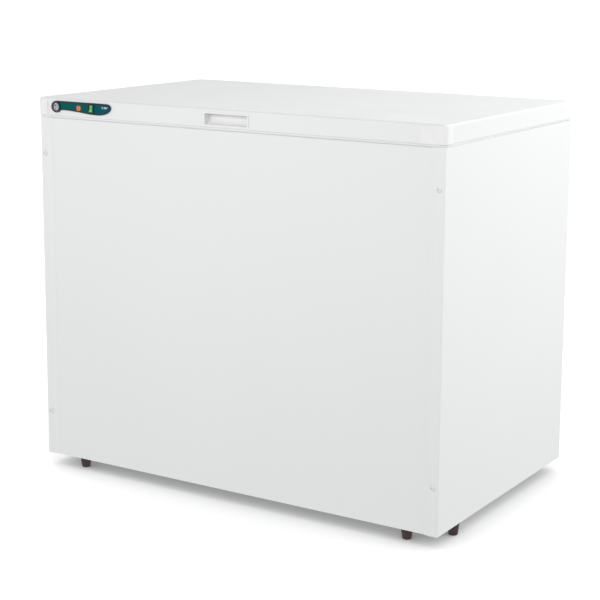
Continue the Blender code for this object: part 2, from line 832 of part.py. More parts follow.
def fascia_outline(inset):
    """The fascia from the front: a round lobe for the dial, a waist and a deeper end with a high nose."""
    top = TOTAL_H - 0.0063 - inset
    belly = TOTAL_H - 0.0326 + inset
    waist = TOTAL_H - 0.0262 + inset
    nose_x, nose_z = -0.3100 - inset, TOTAL_H - 0.0150
    brow_x, belly_x, waist_x = -0.3240, -0.3470, -0.4460
    points = []
    for i in range(6):
        angle = math.radians(90 - 18 * i)
        x, z = (nose_x - brow_x) * math.cos(angle), (top - nose_z) * math.sin(angle)
        points.append((brow_x + x, nose_z + z))
    for i in range(1, 9):
        angle = math.radians(90 * i / 8)
        x, z = (nose_x - belly_x) * math.cos(angle), (nose_z - belly) * math.sin(angle)
        points.append((belly_x + x, nose_z - z))
    for i in range(1, 9):
        share = i / 8
        ease = share * share * (3 - 2 * share)
        points.append((belly_x + (waist_x - belly_x) * share, belly + (waist - belly) * ease))
    radius = 0.0133 - inset
    start = 268 + math.degrees(math.acos((DIAL_Z - waist) / radius))
    points += arc((DIAL_X, DIAL_Z), radius, start, 90, 16)
    return points


def control_fascia():
    back = LID_FRONT - GAP
    shape = prism_shape(fascia_outline(0), 1, BEZEL_FRONT, back)
    round_off(shape, edges_on(shape, 1, BEZEL_FRONT), 0.0011, 2)
    bezel = from_bmesh("control_bezel", shape, "black_plastic", LID_AXIS, smooth=True)
    front, floor = BEZEL_FRONT - 0.01, BEZEL_FRONT + 0.0014
    recess = prism("overlay_recess", fascia_outline(0.0024), 1, front, floor, parent=LID_AXIS)
    dial, lamp, rocker = control_holes()
    cut(bezel, recess, dial, lamp, rocker)
    overlay = prism(
        "control_overlay",
        fascia_outline(0.0027),
        1,
        BEZEL_FRONT + 0.0003,
        BEZEL_FRONT + 0.0011,
        "teal_film",
        LID_AXIS,
    )
    ring = rod(
        "dial_clearance",
        (DIAL_X, BEZEL_FRONT - 0.01, DIAL_Z),
        (DIAL_X, BEZEL_FRONT + 0.01, DIAL_Z),
        0.0131,
        parent=LID_AXIS,
        sides=32,
    )
    cut(overlay, ring, lamp, rocker)


def thermometer():
    """A dial thermometer. Heights run out of the lid's front from the skirt."""
    at = (DIAL_X, LID_FRONT, DIAL_Z)
    out = (0, -1, 0)
    front = LID_FRONT - DIAL_FRONT
    case = [
        (0, -0.0090),
        (0.0107, -0.0090),
        (0.0107, front - 0.0010),
        (0.0096, front - 0.0002),
        (0.0098, front),
        (0.0122, front),
        (0.0128, front - 0.0008),
        (0.0128, front - 0.0019),
        (0.0115, front - 0.0019),
        (0.0115, -0.0100),
        (0, -0.0100),
    ]
    turned("thermometer_case", case, at, out, "black_plastic", LID_AXIS, steps=32)
    dial = [(0.0102, 0.0012), (0.0104, 0.0010), (0.0104, 0.0002), (0, 0.0002)]
    turned("thermometer_dial", [(0, 0.0012)] + dial, at, out, "dial_metal", LID_AXIS, steps=32)
    lens = [(0.0103, 0.0052), (0.0103, 0.0044), (0, 0.0044)]
    turned("thermometer_lens", [(0, 0.0052)] + lens, at, out, "clear_lens", LID_AXIS, steps=32)
    needle_outline = (
        [(-0.0003, 0.0080), (0.0003, 0.0080)]
        + [(0.0009, 0.0014)]
        + arc((0, 0), 0.0016, 55, -55, 6)
        + [(0.0007, -0.0034), (-0.0007, -0.0034)]
        + arc((0, 0), 0.0016, 235, 125, 6)
        + [(-0.0009, 0.0014)]
    )
    turn = math.radians(67.5)
    points = []
    for x, z in needle_outline:
        points.append(
            (
                DIAL_X + x * math.cos(turn) - z * math.sin(turn),
                DIAL_Z + x * math.sin(turn) + z * math.cos(turn),
            )
        )
    front, back = LID_FRONT - 0.0030, LID_FRONT - 0.0024
    prism("thermometer_needle", points, 1, front, back, "black_plastic", NEEDLE_AXIS)


def indicator_lamp():
    body = block(
        "indicator_lamp",
        (LAMP_X - 0.0047, BEZEL_FRONT - 0.0002, CONTROL_Z - 0.0047),
        (LAMP_X + 0.0047, LID_FRONT + 0.0160, CONTROL_Z + 0.0047),
        "orange_lens",
        LID_AXIS,
    )
    shape = box_shape(
        (LAMP_X - 0.0058, BEZEL_FRONT - 0.0022, CONTROL_Z - 0.0058),
        (LAMP_X + 0.0058, BEZEL_FRONT, CONTROL_Z + 0.0058),
    )
    round_off(shape, edges_along(shape, 1), 0.0034, 4)
    round_off(shape, edges_on(shape, 1, BEZEL_FRONT - 0.0022), 0.0012, 2)
    join(body, from_bmesh("lamp_lens", shape, None, LID_AXIS))


def rocker_switch():
    shape = box_shape(
        (ROCKER_X - 0.0088, BEZEL_FRONT - 0.0020, CONTROL_Z - 0.0112),
        (ROCKER_X + 0.0088, BEZEL_FRONT - GAP, CONTROL_Z + 0.0112),
    )
    round_off(shape, edges_along(shape, 1), 0.0015, 2)
    frame = from_bmesh("rocker_frame", shape, "black_plastic", LID_AXIS)
    body = block(
        "rocker_body",
        (ROCKER_X - 0.0065, BEZEL_FRONT - 0.0010, CONTROL_Z - 0.0095),
        (ROCKER_X + 0.0065, LID_FRONT + 0.0150, CONTROL_Z + 0.0095),
        parent=LID_AXIS,
    )
    well = block(
        "rocker_well",
        (ROCKER_X - 0.0056, BEZEL_FRONT - 0.01, CONTROL_Z - 0.0090),
        (ROCKER_X + 0.0056, LID_FRONT + 0.0040, CONTROL_Z + 0.0090),
        parent=LID_AXIS,
    )
    cut(join(frame, body), well)
    outline = [(-0.0030, 0), (-0.0044, 0.0080), (0.0030, 0.0080), (0.0030, -0.0080), (-0.0044, -0.0080)]
    turn = -ROCKER_TILT
    points = []
    for y, z in outline:
        points.append(
            (
                ROCKER_PIVOT[1] + y * math.cos(turn) - z * math.sin(turn),
                ROCKER_PIVOT[2] + y * math.sin(turn) + z * math.cos(turn),
            )
        )
    prism("rocker_button", points, 0, ROCKER_X - 0.0052, ROCKER_X + 0.0052, "green_lens", ROCKER_AXIS)


# Hinges


def hinge(word, x):
    """One sprung hinge: a base on the cabinet, an arm on the lid, a pin, a spring and a cover."""
    y, z = HINGE_AT
    face = HALF_D - SHEET + 0.0002
    bore = rod(f"bore_{word}", (x - 0.05, y, z), (x + 0.05, y, z), 0.0031, sides=24)
    low, high = (x - 0.028, face, z - 0.072), (x + 0.028, face + 0.0025, z - 0.012)
    base = block(f"hinge_base_{word}", low, high, "zinc_steel")
    ear_outline = (
        [(face + 0.001, z - 0.040), (face + 0.001, z - 0.012)]
        + arc((y, z), 0.008, 170, 0, 8)
        + [(y + 0.008, z - 0.014)]
    )
    ears = [
        prism(f"ear_{word}", ear_outline, 0, x + side - 0.0015, x + side + 0.0015)
        for side in (-0.0220, 0.0220)
    ]
    start, end = (x + 0.004, face + 0.001, z - 0.062), (x + 0.004, y + 0.0125, z - 0.062)
    hook = rod("spring_hook", start, end, 0.0020, sides=12)
    cut(join(base, *ears, hook), bore)
    arm = block(
        f"hinge_arm_{word}",
        (x - 0.0240, LID_BACK + GAP, z + 0.0030),
        (x + 0.0240, LID_BACK + 0.0025, z + 0.0320),
        "zinc_steel",
        LID_AXIS,
    )
    web = block(
        f"web_{word}",
        (x - 0.0195, LID_BACK + 0.001, z + 0.0030),
        (x + 0.0195, y + 0.0010, z + 0.0060),
        parent=LID_AXIS,
    )
    start, end = (x - 0.0195, y, z), (x + 0.0195, y, z)
    knuckle = rod(f"knuckle_{word}", start, end, 0.0065, parent=LID_AXIS, sides=20)
    low, high = (x + 0.0010, y, z - 0.0040), (x + 0.0070, y + 0.0150, z - 0.0005)
    tail = block(f"tail_{word}", low, high, parent=LID_AXIS)
    cut(join(arm, web, knuckle, tail), bore)
    pin = rod(f"hinge_pin_{word}", (x - 0.0262, y, z), (x + 0.0262, y, z), 0.0030, "zinc_steel", sides=24)
    heads = [
        rod(f"pin_head_{word}", (x + a, y, z), (x + b, y, z), 0.0046, sides=16)
        for a, b in ((-0.0268, -0.0238), (0.0238, 0.0268))
    ]
    join(pin, *heads)
    hinge_spring(word, x + 0.004, y + 0.0120, z)
    hinge_cover(word, x, y, z)


def hinge_spring(word, x, y, z):
    """An extension spring from the hook at the base's foot up to the arm's tail."""
    mean, turns, per_turn = 0.0045, 7, 8
    low, high = z - 0.0585, z - 0.0075
    route = []
    for i in range(turns * per_turn + 1):
        angle = 2 * math.pi * i / per_turn
        height = low + (high - low) * i / (turns * per_turn)
        route.append((x + mean * math.cos(angle), y - 0.004 + mean * math.sin(angle), height))
    tube(f"hinge_spring_{word}", route, 0.0010, "zinc_steel")


def hinge_cover(word, x, y, z):
    face = HALF_D - SHEET + 0.0002
    outline = [
        (face, z - 0.076),
        (COVER_BACK - 0.006, z - 0.076),
        (COVER_BACK, z - 0.066),
        (COVER_BACK, z + 0.0080),
        (COVER_BACK - 0.003, z + 0.0110),
        (y - 0.003, z + 0.0110),
        (face, z + 0.0030),
    ]
    shape = prism_shape(outline, 0, x - 0.0315, x + 0.0315)
    front = [side for side in shape.faces if side.normal.y < -0.4]
    bmesh.ops.delete(shape, geom=front, context="FACES")
    cover = open_shell(f"hinge_cover_{word}", shape, 0.0014, "white_plastic")
    low, high = (x - 0.0205, y - 0.02, z + 0.002), (x + 0.0205, y + 0.0090, z + 0.03)
    slot = block(f"cover_slot_{word}", low, high)
    return cut(cover, slot)


# Basket


def basket():
    """The basket's outer shape as a thin-walled tub with side lips that ride on the ledges."""
    low = (BASKET_X[0], -BASKET_Y, BASKET_Z)
    high = (BASKET_X[1], BASKET_Y, BASKET_RIM_Z)
    shape = box_shape(low, high)
    rims = set(edges_on(shape, 2, high[2]))
    round_off(shape, [edge for edge in shape.edges if edge not in rims], 0.020)
    drop_faces(shape, 2, high[2])
    tub = open_shell("basket", shape, BASKET_WALL, "white_steel", BASKET_AXIS)
    lips = []
    for side in (-1, 1):
        near, far = sorted((side * (BASKET_Y - 0.002), side * (BASKET_Y + 0.0135)))
        lips.append(
            block(
                "basket_lip",
                (BASKET_X[0] + 0.020, near, LEDGE_Z + GAP),
                (BASKET_X[1] - 0.020, far, BASKET_RIM_Z),
                parent=BASKET_AXIS,
            )
        )
    return join(tub, *lips)


clear_scene()
PARTS = new_collection("chest_freezer")
CUTTERS = new_collection("cutters")
MATERIALS = {name: new_material(name) for name in COLOURS}
ORIGIN = new_empty("freezer_origin", (0, 0, 0))
LID_AXIS = new_empty("lid_axis", (0, *HINGE_AT), ORIGIN)
ROCKER_PIVOT = (ROCKER_X, BEZEL_FRONT + 0.0036, CONTROL_Z)
ROCKER_AXIS = new_empty("rocker_axis", ROCKER_PIVOT, LID_AXIS)
NEEDLE_AXIS = new_empty("needle_axis", (DIAL_X, LID_FRONT, DIAL_Z), LID_AXIS)
KNOB_AXIS = new_empty("knob_axis", (SIDE_OF_GRILLE, HALF_D, THERMOSTAT_Z), ORIGIN)
BASKET_AXIS = new_empty("basket_axis", (sum(BASKET_X) / 2, 0, LEDGE_Z), ORIGIN)
PLUG_AXIS = new_empty("plug_axis", (*DRAIN_AT, TANK_FLOOR), ORIGIN)

screw_cutters = screw_holes()
drain_cutter = rod("drain_hole", (*DRAIN_AT, 0.01), (*DRAIN_AT, 0.12), 0.0114, sides=20)
side_panel("side_panel_left", -1, screw_cutters)
side_panel("side_panel_right", 1, screw_cutters)
front_panel(screw_cutters)
rear_panel()
base_pan(drain_cutter)
top_frame()
inner_tank()
cabinet_foam(drain_cutter)
feet()
front_screws()

refrigerant_lines(evaporator_tube())
condenser_tube()
compressor()
drain()
grille()
thermostat()
cable_gland()

lid_shell(control_holes())
lid_foam()
lid_liner()
lid_gasket()
handle_cup()
corner_caps()
control_fascia()
thermometer()
indicator_lamp()
rocker_switch()

for side_word, hinge_x in (("left", -HINGE_X), ("right", HINGE_X)):
    hinge(side_word, hinge_x)

basket()
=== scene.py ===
"""Looks of the chest freezer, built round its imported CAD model.

Everything is in metres in the model's frame: +X is the right side, -Y the front, +Z up, with the
origin on the floor under the middle of the freezer's box.
"""

import json
import math

import bmesh
import bpy
from mathutils import Matrix, Vector


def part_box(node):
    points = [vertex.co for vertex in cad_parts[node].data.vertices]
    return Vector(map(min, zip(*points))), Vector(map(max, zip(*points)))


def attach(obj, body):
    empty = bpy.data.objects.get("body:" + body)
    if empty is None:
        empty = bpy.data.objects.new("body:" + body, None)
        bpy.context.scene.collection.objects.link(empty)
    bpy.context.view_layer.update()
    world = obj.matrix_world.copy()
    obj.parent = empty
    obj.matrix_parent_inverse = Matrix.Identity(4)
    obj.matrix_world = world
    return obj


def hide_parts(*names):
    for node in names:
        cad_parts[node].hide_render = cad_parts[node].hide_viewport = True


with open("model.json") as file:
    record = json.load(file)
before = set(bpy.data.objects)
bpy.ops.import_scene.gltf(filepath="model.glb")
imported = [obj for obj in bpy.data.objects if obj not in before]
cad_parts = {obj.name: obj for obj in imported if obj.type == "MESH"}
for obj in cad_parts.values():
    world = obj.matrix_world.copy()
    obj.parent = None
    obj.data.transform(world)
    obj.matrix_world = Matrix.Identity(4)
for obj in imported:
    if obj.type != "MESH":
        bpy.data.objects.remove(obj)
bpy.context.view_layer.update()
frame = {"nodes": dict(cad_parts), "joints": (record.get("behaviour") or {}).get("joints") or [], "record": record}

NODES = frame["nodes"]
SLOT_OF = {part["node"]: part["material_slot"] for part in frame["record"]["subparts"]}

FRONT, BACK = (0, -1, 0), (0, 1, 0)
SIDES = {"left": -1, "right": 1}
UPRIGHT = Matrix.Rotation(math.radians(90), 4, "X")
CREASE = 38


# Materials


class Look:
    """A Principled material. Its colour, roughness and relief come from noise in the object's space."""

    def __init__(self, name, colour, roughness, metallic=0.0, **sockets):
        self.material = bpy.data.materials.new(name)
        self.material.use_nodes = True
        self.tree = self.material.node_tree
        self.shader = self.tree.nodes["Principled BSDF"]
        self.shader.inputs["Base Color"].default_value = (*colour, 1)
        self.shader.inputs["Roughness"].default_value = roughness
        self.shader.inputs["Metallic"].default_value = metallic
        for socket, value in sockets.items():
            self.shader.inputs[socket.replace("_", " ")].default_value = value
        self.colour, self.roughness = colour, roughness
        self.place = self.node("TexCoord").outputs["Object"]
        self.relief = None

    def node(self, kind, **values):
        """A shader node with its sockets or properties set."""
        node = self.tree.nodes.new("ShaderNode" + kind)
        for key, value in values.items():
            if key in node.inputs:
                node.inputs[key].default_value = value
            else:
                setattr(node, key, value)
        return node

    def link(self, output, target):
        """Joins two sockets."""
        self.tree.links.new(output, target)
        return self

    def noise(self, scale, detail=3.0, stretch=(1, 1, 1)):
        """Noise with features about 1/scale metres across, or longer where the stretch is small."""
        mapping = self.node("Mapping")
        mapping.inputs["Scale"].default_value = stretch
        self.link(self.place, mapping.inputs["Vector"])
        noise = self.node("TexNoise", Scale=scale, Detail=detail)
        self.link(mapping.outputs["Vector"], noise.inputs["Vector"])
        return noise.outputs["Fac"]

    def spread(self, value, low, high):
        """The middle of a noise's range, spread from low to high."""
        ramp = self.node("MapRange")
        ramp.inputs["From Min"].default_value = 0.3
        ramp.inputs["From Max"].default_value = 0.7
        ramp.inputs["To Min"].default_value = low
        ramp.inputs["To Max"].default_value = high
        self.link(value, ramp.inputs["Value"])
        return ramp.outputs["Result"]

    def tint(self, factor, first, second):
        """Runs the base colour from one colour to another by a factor."""
        mix = self.node("Mix", data_type="RGBA")
        mix.inputs["A"].default_value = (*first, 1)
        mix.inputs["B"].default_value = (*second, 1)
        self.link(factor, mix.inputs["Factor"])
        return self.link(mix.outputs["Result"], self.shader.inputs["Base Color"])

    def mottle(self, scale, amount, stretch=(1, 1, 1)):
        """Darkens the base colour in patches by up to a share of it."""
        darker = [part * (1 - amount) for part in self.colour]
        return self.tint(self.spread(self.noise(scale, 4, stretch), 0, 1), self.colour, darker)

    def smudge(self, scale, amount):
        """Lets the roughness wander by an amount either way."""
        low, high = self.roughness - amount, self.roughness + amount
        return self.link(self.spread(self.noise(scale), low, high), self.shader.inputs["Roughness"])

    def emboss(self, height, depth, strength=1.0):
        """Adds a relief of a height field, on top of any earlier one."""
        bump = self.node("Bump", Strength=strength, Distance=depth)
        self.link(height, bump.inputs["Height"])
        if self.relief:
            self.link(self.relief, bump.inputs["Normal"])
        self.relief = bump.outputs["Normal"]
        return self.link(self.relief, self.shader.inputs["Normal"])

    def grain(self, scale, depth, stretch=(1, 1, 1)):
        """Adds a relief of fine noise."""
        return self.emboss(self.noise(scale, 2, stretch), depth)


def painted_steel(name, colour):
    """Baked enamel with a fine orange peel and long shallow waves."""
    look = Look(name, colour, 0.36, Coat_Weight=0.25, Coat_Roughness=0.22)
    return look.mottle(2.3, 0.018).smudge(9, 0.04).grain(420, 0.00006).grain(1.6, 0.0016).material


def moulded(name, colour, roughness, grain=900, depth=0.00005, **sockets):
    """An even finish with faint mottling and a fine grain, for plastics, rubber, foam and enamel."""
    look = Look(name, colour, roughness, **sockets)
    return look.mottle(35, 0.04).smudge(60, 0.05).grain(grain, depth).material


def stucco_sheet():
    """Aluminium sheet embossed with rounded cells."""
    look = Look("stucco_aluminium", (0.84, 0.85, 0.86), 0.42, 0.30)
    look.mottle(6, 0.06).smudge(14, 0.06)
    cells = look.node("TexVoronoi", Scale=210.0, feature="SMOOTH_F1")
    look.link(look.place, cells.inputs["Vector"])
    return look.emboss(cells.outputs["Distance"], 0.0009, 0.6).material


def zinc_plate():
    """Zinc plating with a small spangle."""
    look = Look("zinc_plate", (0.60, 0.60, 0.58), 0.38, 1.0)
    cells = look.node("TexVoronoi", Scale=120.0)
    look.link(look.place, cells.inputs["Vector"])
    look.tint(cells.outputs["Distance"], (0.66, 0.67, 0.68), (0.50, 0.51, 0.50))
    return look.smudge(40, 0.1).grain(500, 0.00004).material


def teal_film():
    """The printed film behind the controls: green at its left end, blue at its right."""
    low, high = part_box("control_overlay")
    green, blue = (0.001, 0.098, 0.084), (0.001, 0.076, 0.112)
    look = Look("teal_film", green, 0.45, Specular_IOR_Level=0.06)
    split = look.node("SeparateXYZ")
    look.link(look.place, split.inputs["Vector"])
    along = look.node("MapRange")
    along.inputs["From Min"].default_value = low.x
    along.inputs["From Max"].default_value = high.x
    look.link(split.outputs["X"], along.inputs["Value"])
    look.tint(along.outputs["Result"], green, blue)
    return look.smudge(120, 0.04).grain(1500, 0.00002).material


def lens(name, colour, glow):
    """Coloured clear plastic with fine ribs moulded on its inner side."""
    look = Look(name, colour, 0.28, Specular_IOR_Level=0.3, Coat_Weight=0.25, Coat_Roughness=0.08)
    look.shader.inputs["Emission Strength"].default_value = glow
    look.shader.inputs["Emission Color"].default_value = (*colour, 1)
    ribs = look.node("TexWave", Scale=180.0, Distortion=0.0)
    look.link(look.place, ribs.inputs["Vector"])
    return look.mottle(160, 0.18).emboss(ribs.outputs["Fac"], 0.00015, 0.5).material


def clear_plastic():
    """Clear plastic for the cover of the dial."""
    look = Look("clear_plastic", (0.98, 0.99, 0.99), 0.04, Transmission_Weight=1.0, IOR=1.49)
    return look.smudge(90, 0.02).material


LOOKS = {
    "white_steel": painted_steel("white_paint", (0.80, 0.81, 0.81)),
    "white_plastic": moulded("white_plastic", (0.835, 0.84, 0.835), 0.40),
    "tank_sheet": stucco_sheet(),
    "zinc_steel": zinc_plate(),
    "black_steel": moulded("black_enamel", (0.018, 0.018, 0.019), 0.30, 300, 0.0002),
    "copper": moulded("copper_tube", (0.70, 0.34, 0.20), 0.30, 250, 0.0001, Metallic=1.0),
    "foam": moulded("rigid_foam", (0.78, 0.64, 0.36), 0.90, 260, 0.0012),
    "black_plastic": moulded("black_plastic", (0.014, 0.015, 0.017), 0.38, 1100, 0.00006),
    "teal_film": teal_film(),
    "dial_metal": moulded("dial_metal", (0.66, 0.64, 0.72), 0.45, 1500, 0.00002),
    "clear_lens": clear_plastic(),
    "orange_lens": lens("orange_lens", (0.64, 0.19, 0.045), 0.08),
    "green_lens": lens("green_lens", (0.035, 0.46, 0.085), 0.10),
    "brown_rubber": moulded("brown_rubber", (0.050, 0.026, 0.027), 0.62, 700, 0.0002),
    "grey_seal": moulded("grey_seal", (0.80, 0.805, 0.805), 0.50, 600, 0.0001),
}

for name, node in NODES.items():
    for slot in node.material_slots:
        slot.material = LOOKS[SLOT_OF[name]]


# Shapes


def make_piece(name, data, body, slot):
    """An object that rides on a body and takes its finish from a material slot."""
    piece = bpy.data.objects.new(name, data)
    bpy.context.scene.collection.objects.link(piece)
    data.materials.clear()
    data.materials.append(LOOKS[slot])
    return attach(piece, body)


def mesh_of(name, shape, crease=CREASE):
    """A smooth mesh from a shape, with sharp edges where it turns by more degrees than the crease."""
    bmesh.ops.recalc_face_normals(shape, faces=shape.faces)
    mesh = bpy.data.meshes.new(name)
    shape.to_mesh(mesh)
    shape.free()
    mesh.shade_smooth()
    mesh.set_sharp_from_angle(angle=math.radians(crease))
    return mesh


def facing(direction):
    """A rotation that turns +Z to a direction."""
    return Vector(direction).to_track_quat("Z", "Y").to_matrix().to_4x4()


def turned(profile, at=(0, 0, 0), direction=(0, 0, 1), steps=32):
    """A turned shape from a profile of radii and heights."""
    shape = bmesh.new()
    rail = [shape.verts.new((radius, 0, height)) for radius, height in profile]
    rail += [shape.edges.new(pair) for pair in zip(rail, rail[1:])]
    full = {"cent": (0, 0, 0), "axis": (0, 0, 1), "angle": math.tau}
    bmesh.ops.spin(shape, geom=rail, steps=steps, use_merge=True, **full)
    bmesh.ops.remove_doubles(shape, verts=shape.verts, dist=1e-6)
    shape.transform(Matrix.Translation(at) @ facing(direction))
    return shape


def round_rectangle(low, high, radius, steps=6):
    """Points round a rectangle with round corners, each with the direction out of it."""
    left, right = low[0] + radius, high[0] - radius
    front, back = low[1] + radius, high[1] - radius
    walk = []
    for x, y, start in ((right, back, 0), (left, back, 90), (left, front, 180), (right, front, 270)):
        for step in range(steps + 1):
            angle = math.radians(start + 90 * step / steps)
            out = Vector((math.cos(angle), math.sin(angle), 0))
            walk.append((Vector((x, y, 0)) + out * radius, out))
    return walk


def swept_ring(walk, section):
    """A closed profile of distances out and heights, drawn round a closed path."""
    shape = bmesh.new()
    rings = []
    for point, out in walk:
        rings.append([shape.verts.new(point + out * away + Vector((0, 0, z))) for away, z in section])
    for first, second in zip(rings, rings[1:] + rings[:1]):
        for i, corner in enumerate(first):
            shape.faces.new((corner, second[i], second[i - 1], first[i - 1]))
    return shape


def box_shape(low, high, edge=0.0, place=None):
    """A box, with its edges rounded by a length and moved to a place if they are given."""
    shape = bmesh.new()
    low, high = Vector(low), Vector(high)
    size = Matrix.Diagonal((*(high - low), 1))
    bmesh.ops.create_cube(shape, size=1, matrix=Matrix.Translation((low + high) / 2) @ size)
    if edge:
        edges = shape.edges[:]
        bmesh.ops.bevel(shape, geom=edges, offset=edge, segments=2, profile=0.5, affect="EDGES")
    if place:
        shape.transform(place)
    return shape


def gather(shapes):
    """Several shapes as one."""
    whole = bmesh.new()
    for shape in shapes:
        part = bpy.data.meshes.new("part")
        shape.to_mesh(part)
        shape.free()
        whole.from_mesh(part)
        bpy.data.meshes.remove(part)
    return whole


def bent(corners, radius, steps=5):
    """A path through corners, with each inner one rounded."""
    corners = [Vector(corner) for corner in corners]
    path = [corners[0]]
    for before, corner, after in zip(corners, corners[1:], corners[2:]):
        start = corner + (before - corner).normalized() * radius
        end = corner + (after - corner).normalized() * radius
        for step in range(steps + 1):
            share = step / steps
            path.append(start.lerp(corner, share).lerp(corner.lerp(end, share), share))
    return path + [corners[-1]]


def wires(name, paths, radius, body, slot, closed=False, sides=2):
    """Round wires along paths, as one piece."""
    curve = bpy.data.curves.new(name, "CURVE")
    curve.dimensions = "3D"
    curve.bevel_depth = radius
    curve.bevel_resolution = sides
    curve.use_fill_caps = True
    for path in paths:
        spline = curve.splines.new("POLY")
        spline.points.add(len(path) - 1)
        for point, place in zip(spline.points, path):
            point.co = (*place, 1)
        spline.use_cyclic_u = closed
        spline.use_smooth = True
    return make_piece(name, curve, body, slot)


def numeral(name, text, at, size, turn, body, slot):
    """A printed number. Turn is its rotation from lying flat."""
    thickness, proud = 0.00003, 0.00005
    curve = bpy.data.curves.new(name, "FONT")
    curve.body = text
    curve.size = size
    curve.extrude = thickness
    curve.align_x, curve.align_y = "CENTER", "CENTER"
    curve.resolution_u = 3
    piece = make_piece(name, curve, body, slot)
    piece.matrix_world = Matrix.Translation(at) @ turn @ Matrix.Translation((0, 0, proud))
    return piece


def centre_of(node):
    """The middle of a node's box."""
    low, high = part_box(node)
    return (low + high) / 2


# Screws and rivets


def pan_head(radius, height):
    """A pan head with a cross recess, standing on the plane z = 0."""
    flat, wall = 0.55, 0.35
    crown = []
    for step in range(7):
        angle = math.radians(90 * step / 6)
        reach = radius * (flat + (1 - flat) * math.cos(angle))
        crown.append((reach, height * (wall + (1 - wall) * math.sin(angle))))
    head = mesh_of("pan_head", turned([(0, 0), (radius, 0)] + crown + [(0, height)]))
    arm, half = radius * 0.52, radius * 0.10
    floor, above, apart = height * 0.45, height * 1.5, 0.00001
    one_slot = box_shape((-arm, -half, floor), (arm, half, above))
    other_slot = box_shape((-half, -arm, floor - apart), (half, arm, above + apart))
    cross = gather([one_slot, other_slot])
    body = bpy.data.objects.new("head", head)
    cutter = bpy.data.objects.new("cross", mesh_of("cross", cross))
    for obj in (body, cutter):
        bpy.context.scene.collection.objects.link(obj)
    recess = body.modifiers.new("recess", "BOOLEAN")
    recess.object = cutter
    recess.use_self = True
    bpy.context.view_layer.update()
    mesh = bpy.data.meshes.new_from_object(body.evaluated_get(bpy.context.evaluated_depsgraph_get()))
    mesh.set_sharp_from_angle(angle=math.radians(CREASE))
    for obj in (body, cutter):
        bpy.data.objects.remove(obj)
    return mesh


def screw(name, mesh, at, direction, turn, body, slot):
    """A head that stands on a face, turned by degrees about its own axis."""
    piece = make_piece(name, mesh, body, slot)
    twist = Matrix.Rotation(math.radians(turn), 4, "Z")
    piece.matrix_world = Matrix.Translation(at) @ facing(direction) @ twist
    return piece


def panel_screws():
    """The big white screws through the front flanges."""
    mesh = pan_head(radius=0.0062, height=0.0036)
    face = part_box("side_panel_left")[0].y
    for i, node in enumerate(sorted(name for name in NODES if name.startswith("screw_"))):
        middle = centre_of(node)
        at = (middle.x, face, middle.z)
        head = screw(node + "_head", mesh, at, FRONT, 17 + 31 * i, "cabinet", "white_steel")
        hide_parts(node)


def small_screws():
    """Screws of the grille and hinge arms, and rivets of the rear flanges."""
    low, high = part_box("compressor_grille")
    inset = 0.0065
    mesh = pan_head(radius=0.0030, height=0.0016)
    for i, x in enumerate((low.x + inset, high.x - inset)):
        for j, z in enumerate((low.z + inset, high.z - inset)):
            turn = 25 + 40 * (i + 2 * j)
            screw(f"grille_screw_{i}{j}", mesh, (x, high.y, z), BACK, turn, "cabinet", "zinc_steel")
    mesh = pan_head(radius=0.0036, height=0.0018)
    plate, spacing, below_top = 0.0025, 0.015, 0.0085
    for side in SIDES:
        arm_low, arm_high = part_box("hinge_arm_" + side)
        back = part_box("lid_shell")[1].y + plate
        middle = (arm_low.x + arm_high.x) / 2
        for i, offset in enumerate((-spacing, spacing)):
            at = (middle + offset, back, arm_high.z - below_top)
            screw(f"hinge_screw_{side}_{i}", mesh, at, BACK, 10 + 55 * i, "lid", "zinc_steel")
    rivet = [(0, 0), (0.0032, 0), (0.0032, 0.0003), (0.0026, 0.0010), (0.0014, 0.0014), (0, 0.0015)]
    mesh = mesh_of("rivet", turned(rivet, steps=20))
    lowest, spacing = 0.08, 0.21
    for side, way in SIDES.items():
        low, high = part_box("side_panel_" + side)
        x = (low.x + high.x) / 2 + (high.x - low.x) / 6 * way
        for i in range(5):
            z = low.z + (high.z - low.z) * (lowest + spacing * i)
            screw(f"rear_rivet_{side}_{i}", mesh, (x, high.y, z), BACK, 0, "cabinet", "white_steel")


# Feet


def feet():
    """Rubber feet: a cone with a flange on top, a groove under it and a sole with a steel bush."""
    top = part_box("foot_front_left")[1].z
    sole = [(0, 0.0030), (0.0036, 0.0030), (0.0042, 0.0026), (0.0044, 0.0006), (0.0052, 0), (0.0082, 0)]
    cone = [(0.0094, 0.0005), (0.0101, 0.0017), (0.0103, 0.0034), (0.0112, 0.0110), (0.0122, 0.0186)]
    groove = [(0.0123, 0.0194), (0.0118, 0.0200), (0.0117, 0.0212), (0.0123, 0.0219), (0.0131, 0.0232)]
    flange = [(0.0136, 0.0244), (0.0137, 0.0262), (0.0137, top - 0.0006), (0.0132, top), (0, top)]
    rubber = mesh_of("foot", turned(sole + cone + groove + flange, steps=40), 50)
    bush = [(0, 0.0042), (0.0016, 0.0042), (0.0018, 0.0034)]
    bush += [(0.0033, 0.0033), (0.0034, 0.0031), (0, 0.0031)]
    bush_down = 0.0008
    steel = mesh_of("foot_bush", turned(bush, steps=24))
    for node in sorted(name for name in NODES if name.startswith("foot_")):
        middle = centre_of(node)
        foot = make_piece(node + "_rubber", rubber, "cabinet", SLOT_OF[node])
        foot.location = (middle.x, middle.y, 0)
        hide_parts(node)
        insert = make_piece(node + "_bush", steel, "cabinet", "zinc_steel")
        insert.location = (middle.x, middle.y, -bush_down)


# Lid


